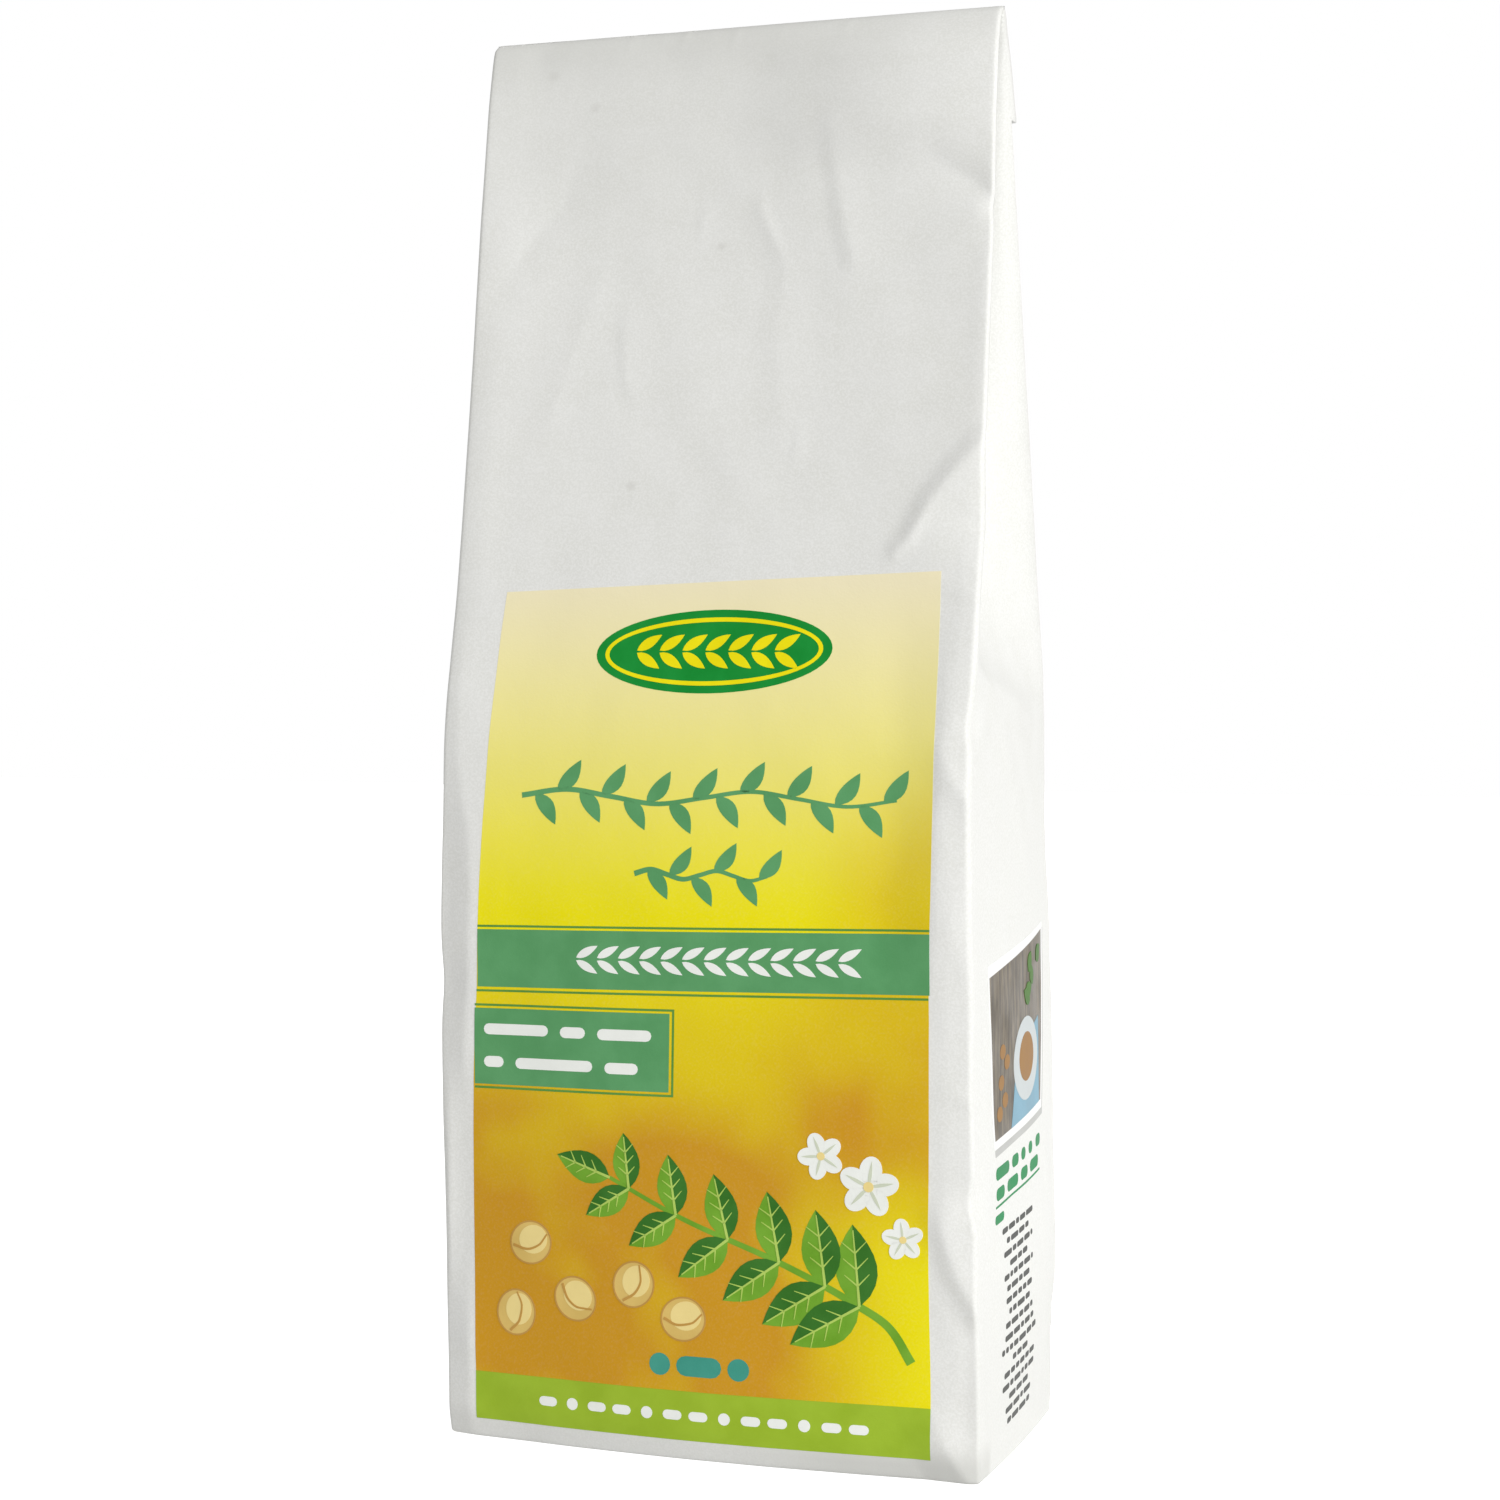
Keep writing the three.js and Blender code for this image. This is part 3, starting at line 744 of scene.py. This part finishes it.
# Every piece of print, and its ink: an sRGB colour and how uneven it is, or its own material.
INKS = {
    "label_field": label_material,
    "label_green": ((90, 154, 99), 5),
    "label_lines": ((92, 144, 62), 5),
    "label_lime": ((154, 184, 44), 5),
    "label_white": ((238, 240, 234), 3),
    "label_teal": ((64, 150, 132), 5),
    "medal_green": ((18, 138, 50), 5),
    "medal_yellow": ((238, 224, 10), 5),
    "sprig_green": ((112, 164, 44), 9),
    "sprig_dark": ((52, 110, 34), 7),
    "sprig_light": ((176, 204, 96), 6),
    "blossoms": ((238, 240, 234), 4),
    "blossom_shade": ((206, 212, 190), 4),
    "seeds": ((216, 184, 104), 6),
    "seed_light": ((236, 214, 142), 4),
    "seed_dark": ((190, 146, 72), 5),
    "picture_shadow": ((186, 186, 183), 5),
    "picture_frame": ((236, 236, 234), 2),
    "picture_boards": picture_material,
    "picture_cloth": ((128, 166, 184), 8),
    "picture_plate": ((196, 202, 202), 4),
    "picture_grains": ((150, 112, 66), 8),
    "picture_greens": ((74, 112, 50), 10),
    "side_heading": ((42, 132, 80), 5),
    "side_rows": ((72, 73, 70), 8),
}


# ---- Print: flat outlines laid on the paper as thin closed shells ----

PRINT_CELL = 1.3
PRINT_SUNK = 0.03
PRINT_CRISP_FROM = 60  # degrees
LAYER = 0.035
# On a print's map the shown faces reach over nearly all of it, and the others lie in a corner.
SHOWN_SCALE = 0.985
SHOWN_FROM = 0.012
HIDDEN_SCALE = 0.01
MERGE_WITHIN = 1e-5


def cut_to_grid(rings):
    """Points and triangles of the area inside closed rings, cut small to follow the paper."""
    points, edges = [], []
    for ring in rings:
        first = len(points)
        points += [Vector(p) for p in ring]
        edges += [(first + i, first + (i + 1) % len(ring)) for i in range(len(ring))]
    flat = np.concatenate(rings)
    low, high = flat.min(axis=0), flat.max(axis=0)
    for axis in (0, 1):
        first, last = (ceil(v / PRINT_CELL) for v in (low[axis], high[axis]))
        for step in range(first, last):
            ends = [low - 1, high + 1]
            for end in ends:
                end[axis] = step * PRINT_CELL
            edges.append((len(points), len(points) + 1))
            points += [Vector(end) for end in ends]
    places, _, triangles, *_ = geometry.delaunay_2d_cdt(points, edges, [], 0, MERGE_WITHIN)
    places = np.array([tuple(p) for p in places])
    triangles = np.array(triangles)
    middles = places[triangles].mean(axis=1)
    inside = np.zeros(len(triangles), bool)
    for ring in rings:
        ring = np.array(ring)
        for (ax, az), (bx, bz) in zip(ring, np.roll(ring, -1, axis=0)):
            crosses = (az > middles[:, 1]) != (bz > middles[:, 1])
            rise = bz - az if bz != az else 1.0
            at_x = ax + (middles[:, 1] - az) * (bx - ax) / rise
            inside ^= crosses & (middles[:, 0] < at_x)
    used, kept = np.unique(triangles[inside], return_inverse=True)
    return places[used], kept.reshape(-1, 3)


class Print:
    """All the shapes of one ink, gathered into one piece."""

    def __init__(self, name, ink):
        self.name = name
        self.panel = side_points if name.startswith(("picture", "side")) else front_points
        self.material = ink() if callable(ink) else ink_material(name + "_ink", *ink)
        self.points = []
        self.faces = []
        self.flat = []
        self.count = 0

    def add(self, layer, rings):
        places, triangles = cut_to_grid(rings)
        across, height = places.T
        top = self.panel(across, height, layer * LAYER)
        under = self.panel(across, height, -PRINT_SUNK)
        size = len(places)
        self.faces += [tuple(t + self.count) for t in triangles]
        self.faces += [tuple(t[::-1] + self.count + size) for t in triangles]
        edges = dict.fromkeys((a, b) for t in triangles for a, b in zip(t, np.roll(t, -1)))
        for a, b in edges:
            if (b, a) not in edges:
                a, b = a + self.count, b + self.count
                self.faces.append((b, a, a + size, b + size))
        self.points += [top, under]
        self.flat += [places, places]
        self.count += 2 * size

    def finish(self):
        flat = np.concatenate(self.flat)
        low, high = flat.min(axis=0), flat.max(axis=0)
        uv = (flat - low) / (high - low).max()
        is_top = np.concatenate([np.full(len(block), i % 2 == 0)
                                 for i, block in enumerate(self.points)])
        shown, hidden = uv * SHOWN_SCALE + SHOWN_FROM, uv * HIDDEN_SCALE
        unrolled = [(shown if is_top[list(face)].all() else hidden)[i]
                    for face in self.faces for i in face]
        add_object(self.name, np.concatenate(self.points), self.faces, unrolled, self.material,
                   PRINT_CRISP_FROM)


prints = {name: Print(name, ink) for name, ink in INKS.items()}


def draw(name, layer, *rings):
    """Adds the area inside closed rings to a print, this many layers above the paper."""
    prints[name].add(layer, rings)


# ---- Outlines ----

LEAF_BELLY = 0.85  # below 1, a leaf is widest past its middle
LEAF_FULLNESS = 0.9


def turned(across, upward, x, z, turn):
    """Places around (x, z), turned by degrees."""
    c, s = cos(radians(turn)), sin(radians(turn))
    return np.stack([x + across * c - upward * s, z + across * s + upward * c], axis=1)


def toward(x, z, reach, angle):
    """The place this far from (x, z), at an angle in radians."""
    return x + reach * cos(angle), z + reach * sin(angle)


def ellipse(x, z, half_width, half_height, turn=0.0, count=32):
    angles = np.linspace(0, 2 * pi, count, endpoint=False)
    return turned(half_width * np.cos(angles), half_height * np.sin(angles), x, z, turn)


def dot(x, z, radius, count=16):
    return ellipse(x, z, radius, radius, count=count)


def bar(x, z, length, thickness, slope=0.0, count=7):
    """A bar with rounded ends, from its middle, rising by a slope."""
    angles = np.radians(np.linspace(-90, 90, count))
    radius = thickness / 2
    right = np.stack([length / 2 - radius + radius * np.cos(angles), radius * np.sin(angles)], 1)
    ring = np.concatenate([right, -right])
    return np.stack([x + ring[:, 0], z + ring[:, 1] + ring[:, 0] * slope], axis=1)


def leaf(base, tip, width, bend=0.0, whole=True, count=9):
    """A pointed leaf between two places, or the half of it on the right of the way to its tip."""
    base, tip = np.array(base, float), np.array(tip, float)
    t = np.linspace(0, 1, count)
    along = tip - base
    normal = np.array([-along[1], along[0]]) / np.hypot(*along)
    middle = base + t[:, None] * along + (bend * np.sin(pi * t))[:, None] * normal
    half = (width / 2 * np.sin(pi * t ** LEAF_BELLY) ** LEAF_FULLNESS)[:, None] * normal
    first = middle + half if whole else middle
    return np.concatenate([first, (middle - half)[-2:0:-1]])


def smooth_path(path):
    """A smooth function through points, which are at 0, 1, 2 and so on."""
    axes = [profile(list(enumerate(axis))) for axis in np.array(path, float).T]
    return lambda at: np.stack([axis(at) for axis in axes], axis=-1)


def stroke(path, width, end_width, count=24):
    """A band of changing width along a smooth path."""
    line = smooth_path(path)(np.linspace(0, len(path) - 1, count))
    along = np.gradient(line, axis=0)
    normal = np.stack([-along[:, 1], along[:, 0]], axis=1)
    normal /= np.hypot(*along.T)[:, None]
    half = np.linspace(width, end_width, count)[:, None] / 2
    return np.concatenate([line + normal * half, (line - normal * half)[::-1]])


def between_lines(left_x, right_x, top, bottom, steps=8):
    """A band between two edges that are each given as (height at left, height at right)."""
    t = np.linspace(0, 1, steps)
    x = left_x + (right_x - left_x) * t
    upper = np.stack([x, top[0] + (top[1] - top[0]) * t], axis=1)
    lower = np.stack([x, bottom[0] + (bottom[1] - bottom[0]) * t], axis=1)
    return np.concatenate([lower, upper[::-1]])


# ---- The front's print ----

LABEL_LEFT = [
    (-44.1, 3.7), (-44.5, 22), (-44.8, 40), (-44.8, 62), (-44.3, 75), (-44, 90), (-43.7, 108),
    (-43.3, 136), (-43, 150.6), (-42.7, 155.9),
]
LABEL_RIGHT = [
    (42, 3.9), (42, 14), (41.6, 27), (41.4, 40), (41.6, 58), (41.4, 84), (41.7, 104),
    (41.6, 118), (41.2, 136), (40.4, 158.8),
]
LABEL_STEPS = 20

# Heights at the left-hand and right-hand ends of the label's band, box and strip.
BAND = ((93.7, 95.3), (83.2, 84.7))
BAND_LINES = ((94.5, 96.1), (82.7, 84.2))
BOX = ((79.3, 79.8), (65.4, 65.8))
BOX_LINES = ((80.1, 80.6), (65.0, 65.4))
BOX_MIDDLE = 72
BOX_RIGHT = -5.8
BOX_LINE_RIGHT = -4.9
STRIP = ((12.5, 12.9), (3.7, 3.9))
LINE_WIDTH = 0.4

MEDAL = (-1.0, 144.6)
MEDAL_OVALS = ((22.5, 7.6), (20.8, 6.2), (20.0, 5.4))
OVAL_TURN = (1.2, 64)  # degrees, and points round each

# Ears of grain: the places of their pairs, and how far apart a pair starts and ends, how long it
# is and how wide a grain is.
BAND_PAIRS = [(x, 88.6 + 0.018 * (x + 44)) for x in -24 + 4.1 * np.arange(13)]
BAND_GRAIN = ((0.25, 2.5), 4.2, 1.5)
MEDAL_PAIRS = [(x, MEDAL[1]) for x in -2.4 + 4.4 * np.arange(-3, 4)]
MEDAL_GRAIN = ((0.2, 3.1), 4.6, 1.9)

# The heights and lengths of the box's dashes.
DASHES = ((75.6, (13, 5, 10.5)), (69.6, (4, 15.5, 6.5)))
DASH_START = -42.5
DASH_GAP = 2.4
DASH = (2.0, 0.01)  # thickness and slope

STRIP_PLACES = [(x, 8.3) for x in -29.5 + 4.9 * np.arange(13)]
STRIP_DOT = 1.1
STRIP_DASH = (3.6, 1.7)

# Leafy scrolls: both ends, height, sway, the pitch of the leaves and their size.
SCROLLS = ((-36, 35, 118.3, 1.2, 4.4, 7.0), (-13, 12, 104.6, 0.8, 4.2, 6.4))
SCROLL_POINTS = 9
SCROLL_STROKE = (1.0, 0.6, 64)
SCROLL_LEAF = (0.62, 0.8, 0.42)  # its reach, rise and width, as shares of its size
SCROLL_LEAF_START = 0.6  # of a pitch
SCROLL_LEAF_BEND = -0.5

label_left = profile([(z, x) for x, z in LABEL_LEFT])
label_right = profile([(z, x) for x, z in LABEL_RIGHT])


def label_band(top, bottom):
    """A strip across the label, between heights given at its left and right ends."""
    return between_lines(float(label_left(top[0])), float(label_right(top[1])), top, bottom)


def label_outline():
    sides = []
    for edge, points in ((label_left, LABEL_LEFT), (label_right, LABEL_RIGHT)):
        heights = np.linspace(points[0][1], points[-1][1], LABEL_STEPS)
        sides.append([(float(edge(z)), z) for z in heights])
    return sides[0][::-1] + sides[1]


def line_under(heights):
    return [height - LINE_WIDTH for height in heights]


def draw_ear(name, places, spread, length, width):
    """A row of grains in pairs, which lean away from its line."""
    for x, z in places:
        for side in (1, -1):
            start, end = (z + apart * side for apart in spread)
            draw(name, 3, leaf((x, start), (x + length, end), width))


def draw_scroll(x0, x1, z, sway, pitch, size):
    """A line that sways between two ends, with leaves to either side in turn."""
    places = np.linspace(x0, x1, SCROLL_POINTS)
    heights = [z + sway * sin(i * pi / 2) for i in range(SCROLL_POINTS)]
    draw("label_green", 2, stroke(list(zip(places, heights)), *SCROLL_STROKE))
    reach, rise, width = (size * share for share in SCROLL_LEAF)
    for i in range(round((x1 - x0) / pitch)):
        x = x0 + pitch * (i + SCROLL_LEAF_START)
        base = np.interp(x, places, heights)
        side = 1 if i % 2 else -1
        tip = (x + reach, base + side * rise)
        draw("label_green", 2, leaf((x, base), tip, width, SCROLL_LEAF_BEND * side))


def draw_label():
    draw("label_field", 1, label_outline())
    draw("label_lime", 2, label_band(*STRIP))

    # The green band with a thin line along each side.
    draw("label_green", 2, label_band(*BAND))
    for heights in BAND_LINES:
        draw("label_lines", 2, label_band(heights, line_under(heights)))

    # The small box, and its outline around a gap.
    left = float(label_left(BOX_MIDDLE))
    draw("label_green", 2, between_lines(left, BOX_RIGHT, *BOX))
    for heights in BOX_LINES:
        draw("label_lines", 2, between_lines(left, BOX_LINE_RIGHT, heights, line_under(heights)))
    (_, high), (low, _) = BOX_LINES
    upright = (BOX_LINE_RIGHT - LINE_WIDTH, BOX_LINE_RIGHT)
    draw("label_lines", 2, between_lines(*upright, (high, high), (low, low), steps=2))

    draw_ear("label_white", BAND_PAIRS, *BAND_GRAIN)
    for z, lengths in DASHES:
        x = DASH_START
        for length in lengths:
            draw("label_white", 3, bar(x + length / 2, z, length, *DASH))
            x += length + DASH_GAP
    # A fine row on the strip: every third mark is a dot and the others are dashes.
    for i, place in enumerate(STRIP_PLACES):
        mark = dot(*place, STRIP_DOT) if i % 3 == 1 else bar(*place, *STRIP_DASH)
        draw("label_white", 3, mark)
    # A bar between two dots above the strip.
    for mark in (bar(0, 17.2, 8.5, 3.6), dot(-7.4, 17.2, 2.0, 20), dot(7.4, 17.2, 2.0, 20)):
        draw("label_teal", 2, mark)
    for scroll in SCROLLS:
        draw_scroll(*scroll)


def draw_medal():
    """A plain oval medal with a ring and an ear of grain."""
    field, *ring = [ellipse(*MEDAL, *size, *OVAL_TURN) for size in MEDAL_OVALS]
    draw("medal_green", 2, field)
    draw("medal_yellow", 3, *ring)
    draw_ear("medal_yellow", MEDAL_PAIRS, *MEDAL_GRAIN)


# ---- The front's artwork: a sprig, small blossoms and scattered seeds ----

STEM = [(38.5, 20.5), (34.5, 26.5), (27, 31), (14, 37), (-2, 43), (-17, 50)]
STEM_STROKE = (1.7, 0.7, 44)
# Pairs of leaflets: their places, counted in points of the stem, and their sizes.
LEAFLETS = [(1.75 + i * 0.6, 14.5 - 0.9 * i) for i in range(6)]
LEAFLET_TURN = radians(58)  # away from the stem
LEAFLET_WIDTH = 0.52  # of its size
END_LEAFLET = ((-27.5, 53.5), 5.6)  # its tip and width
LOOK_AHEAD = 0.1

MIDRIB = (0.5, 0.2)
MIDRIB_REACH = 0.93  # of the leaflet's length
VEIN_STROKE = (0.28, 0.12, 5)
VEIN_STARTS = (0.25, 0.45, 0.65)
VEIN_END = (0.14, 0.3)  # ahead as a share of the length, and out as a share of the width

# Blossoms: place, size and turn, and their parts as shares of their size.
BLOSSOMS = ((31, 51, 4.6, 10), (22.5, 56, 3.6, 40), (37, 42, 3.2, 25))
PETALS = 5
PETAL_MIDDLE = 0.62
PETAL_HALF = np.array((0.56, 0.44))
PETAL_POINTS = 22
PETAL_LINE = 0.14
BLOSSOM_HEART = 0.2

# Seeds: place and turn, and their parts in half sizes.
SEEDS = ((-33, 37, 20), (-24, 27.5, -35), (-12.5, 31, 65), (-36, 24, 80), (-3, 25.5, 10))
SEED_OVAL = (4.1, 3.8)
SEED_RIM = ((4.3, 4.0), (4.0, 3.7))
SEED_SHINE = (2.9, 2.6)
SHINE_SHIFT = (0.5, 0.6)
SEED_CREASE = ((-3.6, 0.6), (-1.2, -0.9), (1.4, -0.9), (3.7, 0.5))
CREASE_STROKE = (0.5, 0.3)


def draw_leaflet(base, tip, width):
    """A leaflet with one half darker, a light midrib and three pairs of veins."""
    base, tip = np.array(base, float), np.array(tip, float)
    along = tip - base
    draw("sprig_green", 2, leaf(base, tip, width))
    draw("sprig_dark", 3, leaf(base, tip, width, whole=False))
    draw("sprig_light", 4, stroke([base, base + along / 2, base + along * MIDRIB_REACH], *MIDRIB))
    normal = np.array([-along[1], along[0]]) / np.hypot(*along)
    for share in VEIN_STARTS:
        start = base + along * share
        for side in (1, -1):
            end = start + along * VEIN_END[0] + normal * side * width * VEIN_END[1]
            draw("sprig_light", 4, stroke([start, (start + end) / 2, end], *VEIN_STROKE))


def draw_artwork():
    draw("sprig_green", 2, stroke(STEM, *STEM_STROKE))
    line = smooth_path(STEM)
    for at, size in LEAFLETS:
        here = line(at)
        on_x, on_z = line(at + LOOK_AHEAD) - here
        for side in (1, -1):
            tip = toward(*here, size, atan2(on_z, on_x) + side * LEAFLET_TURN)
            draw_leaflet(here, tip, size * LEAFLET_WIDTH)
    draw_leaflet(STEM[-1], *END_LEAFLET)

    for x, z, size, turn in BLOSSOMS:
        for i in range(PETALS):
            degrees = turn + 360 / PETALS * i
            angle = radians(degrees)
            middle = toward(x, z, size * PETAL_MIDDLE, angle)
            draw("blossoms", 4, ellipse(*middle, *size * PETAL_HALF, degrees, PETAL_POINTS))
            tip = toward(x, z, size, angle)
            draw("blossom_shade", 5, leaf((x, z), tip, size * PETAL_LINE))
        draw("seed_light", 6, dot(x, z, size * BLOSSOM_HEART))

    for x, z, turn in SEEDS:
        draw("seeds", 2, ellipse(x, z, *SEED_OVAL, turn))
        draw("seed_light", 3, ellipse(x, z, *SEED_SHINE, turn) + SHINE_SHIFT)
        crease = turned(*np.array(SEED_CREASE).T, x, z, turn)
        draw("seed_dark", 4, stroke(crease, *CREASE_STROKE))
        draw("seed_dark", 3, *[ellipse(x, z, *size, turn) for size in SEED_RIM])


# ---- The side's print ----

PICTURE_OUTER = [(-23.2, 89.2), (20.5, 94.9), (15.8, 60.0), (-19.7, 56.4)]
PICTURE_INNER = [(-22.1, 87.1), (18.6, 93.4), (14.6, 61.6), (-19.0, 58.0)]
SHADOW_SHIFT = (0.7, -1.3)

# Shapes in the picture, placed by shares of its width and height, and the discs' radius.
CLOTH = ((0.30, 0.0), (0.96, 0.0), (0.90, 0.52), (0.42, 0.40))
PLATE = (0.62, 0.34, 9.5)
HEAP = (0.62, 0.35, 5.6)
CRUMBS = [(*place, 1.7) for place in ((0.14, 0.32), (0.2, 0.2), (0.1, 0.14), (0.24, 0.42), (0.17, 0.5))]
DISC_SQUASH = 0.8
DISC_TURN = 8
# Herb leaves: place and turn.
HERBS = ((0.6, 0.72, 20), (0.66, 0.84, 60), (0.76, 0.74, 110), (0.84, 0.86, 40), (0.7, 0.66, 150))
HERB_REACH = np.array((5.6, 4.2))  # across and upward
HERB_WIDTH = 3.2

# The heading's dashes: the height of a row, and where each dash starts and ends.
HEADING = ((53.4, ((-19, -10), (-8, -3.5), (-1.5, 1.5), (4, 7), (10, 14))),
           (49.8, ((-19, -13.5), (-11.5, -4), (-2, 3), (5, 12))))
HEADING_SLOPE = 0.075
HEADING_THICKNESS = 2.2
HEADING_BARS = ((-3, 47.5, 33, 0.4, HEADING_SLOPE), (-17, 44.2, 6, 1.6, 0.06))

ROW_SEED = 21
ROW_HEIGHTS = 42.2 - 2.15 * np.arange(17)
ROW_MIDDLE = -4
ROW_REACH = (5, 13)
DASH_LENGTH = (1.8, 5.2)
SHORTEST_DASH = 1
ROW_GAP = 0.7
ROW_SLOPE = 0.05
ROW_THICKNESS = 1.0


def in_picture(a, b):
    """A place in the side picture, from shares of its width and height."""
    tl, tr, br, bl = (np.array(p) for p in PICTURE_INNER)
    low = bl + (br - bl) * a
    high = tl + (tr - tl) * a
    return low + (high - low) * b


def draw_picture():
    def disc(a, b, radius):
        return ellipse(*in_picture(a, b), radius, radius * DISC_SQUASH, DISC_TURN)

    draw("picture_shadow", 1, np.array(PICTURE_OUTER) + SHADOW_SHIFT)
    draw("picture_frame", 2, PICTURE_OUTER)
    draw("picture_boards", 3, PICTURE_INNER)
    draw("picture_cloth", 4, [in_picture(a, b) for a, b in CLOTH])
    draw("picture_plate", 5, disc(*PLATE))
    draw("picture_grains", 6, disc(*HEAP))
    for crumb in CRUMBS:
        draw("picture_grains", 4, disc(*crumb))
    for a, b, turn in HERBS:
        base = in_picture(a, b)
        tip = base + toward(0, 0, 1, radians(turn)) * HERB_REACH
        draw("picture_greens", 6, leaf(base, tip, HERB_WIDTH))


def draw_side_rows():
    for z, spans in HEADING:
        for start, end in spans:
            y = (start + end) / 2
            height = z + HEADING_SLOPE * y
            dash = bar(y, height, end - start, HEADING_THICKNESS, HEADING_SLOPE)
            draw("side_heading", 1, dash)
    for measures in HEADING_BARS:
        draw("side_heading", 1, bar(*measures))

    lot = np.random.default_rng(ROW_SEED)
    for z in ROW_HEIGHTS:
        reach = lot.uniform(*ROW_REACH)
        y = ROW_MIDDLE - reach
        end = ROW_MIDDLE + reach
        while y < end - SHORTEST_DASH:
            length = min(lot.uniform(*DASH_LENGTH), end - y)
            height = z + ROW_SLOPE * y
            dash = bar(y + length / 2, height, length, ROW_THICKNESS, ROW_SLOPE)
            draw("side_rows", 1, dash)
            y += length + ROW_GAP


# ---- Camera, floor and light ----

PHOTO_SIDE = 1500  # pixels
FOCAL_PIXELS = 2699
SENSOR_WIDTH = 36.0
CAMERA_PLACE = (161.2, -485.2, 126.9)
CAMERA_TURN = (90, -0.503, 18.67)

KEY_TURN = (78, 0, 61)
KEY_STRENGTH = 2.75
KEY_SOFTNESS = 40
AMBIENT_STRENGTH = 0.565
BACKDROP_STRENGTH = 1.0

FLOOR_REACH = 8.0  # metres
FLOOR_TONES = ((250, 250, 249), (253, 253, 252))
FLOOR_CLOUDS = (120, 2, 0.5)
FLOOR_ROUGHNESS = 0.6
FLOOR_SHINE = 0.2
FLOOR_GLOW = 0.7
WHITE_LIGHT = (1, 1, 1, 1)


def make_camera():
    lens = bpy.data.cameras.new("camera")
    lens.sensor_width = SENSOR_WIDTH
    lens.lens = SENSOR_WIDTH * FOCAL_PIXELS / PHOTO_SIDE
    camera = in_scene("camera", lens)
    camera.location = Vector(CAMERA_PLACE) * MM
    camera.rotation_euler = np.radians(CAMERA_TURN)
    bpy.context.scene.camera = camera


def make_light():
    bpy.context.scene.view_settings.view_transform = "Standard"
    light = bpy.data.lights.new("key", "SUN")
    light.energy = KEY_STRENGTH
    light.angle = radians(KEY_SOFTNESS)
    in_scene("key", light).rotation_euler = np.radians(KEY_TURN)
    world = bpy.data.worlds.new("studio")
    world.use_nodes = True
    nodes, links = world.node_tree.nodes, world.node_tree.links
    # The backdrop looks white, but lights the bag less than that.
    seen = nodes.new("ShaderNodeLightPath")
    strength = nodes.new("ShaderNodeMapRange")
    strength.inputs["To Min"].default_value = AMBIENT_STRENGTH
    strength.inputs["To Max"].default_value = BACKDROP_STRENGTH
    links.new(seen.outputs["Is Camera Ray"], strength.inputs["Value"])
    links.new(strength.outputs[0], nodes["Background"].inputs["Strength"])
    nodes["Background"].inputs["Color"].default_value = WHITE_LIGHT
    bpy.context.scene.world = world


def make_floor():
    shader = Shader("floor")
    shader.surface("Roughness", FLOOR_ROUGHNESS)
    shader.surface("Specular IOR Level", FLOOR_SHINE)
    shader.surface("Emission Color", WHITE_LIGHT)
    shader.surface("Emission Strength", FLOOR_GLOW)
    mesh = bpy.data.meshes.new("floor")
    corners = [(x * FLOOR_REACH, y * FLOOR_REACH, 0) for x, y in ((-1, -1), (1, -1), (1, 1), (-1, 1))]
    mesh.from_pydata(corners, [], [(0, 1, 2, 3)])
    tone = shader.mix(shader.noise(*FLOOR_CLOUDS), *map(linear, FLOOR_TONES))
    mesh.materials.append(shader.coloured(tone))
    floor = in_scene("floor", mesh)
    floor.visible_diffuse = False


# ---- The scene ----

make_camera()
make_light()
make_floor()
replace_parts(add_object("bag_paper", *bag_mesh(), paper_material()), NODE)
draw_label()
draw_medal()
draw_artwork()
draw_picture()
draw_side_rows()
for piece in prints.values():
    piece.finish()
